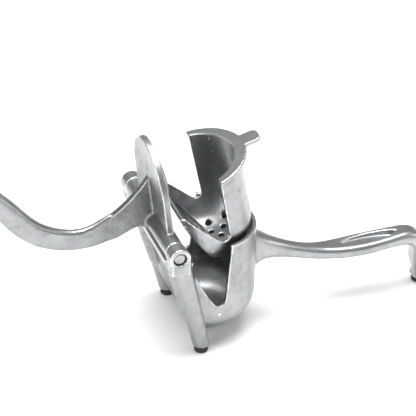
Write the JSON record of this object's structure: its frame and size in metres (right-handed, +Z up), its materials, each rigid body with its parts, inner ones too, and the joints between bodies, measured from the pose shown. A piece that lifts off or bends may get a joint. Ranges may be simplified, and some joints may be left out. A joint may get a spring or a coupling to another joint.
{
  "type": "citrus press juicer",
  "caption": "Hand citrus press: notched cup on legs with rear handle, hinged lever with domed press plate, and a lift-out strainer bowl.",
  "frame": {"origin": "centre of the bottom of the bounding box at rest, on the surface the feet stand on", "axes": "+X towards the rear handle, +Y along the hinge pin to the left side, +Z up"},
  "size_m": [0.2814, 0.092, 0.1851],
  "materials": {
    "cast_aluminium": "satin cast, polished edges",
    "pin_steel": "polished",
    "foot_rubber": "matte"
  },
  "bodies": {
    "base": {"body_casting": "cast_aluminium", "hinge_pin": "pin_steel", "front_foot_left": "foot_rubber", "front_foot_right": "foot_rubber", "rear_foot": "foot_rubber"},
    "lever": {"press_lever": "cast_aluminium"},
    "bowl": {"strainer": "cast_aluminium"}
  },
  "joints": [
    {"name": "lever_hinge", "type": "hinge", "parent": "base", "child": "lever", "pos_m": [-0.02764, 0, 0.071], "axis": [0, 1, 0], "range_deg": [0, 125]},
    {"name": "strainer_lift", "type": "hinge", "parent": "base", "child": "bowl", "pos_m": [-0.12364, 0, 0.063], "axis": [0, 1, 0], "range_deg": [0, 17]}
  ],
  "couplings": [
    {"joint": "strainer_lift", "follows": "lever_hinge", "ratio": 0.136}
  ]
}
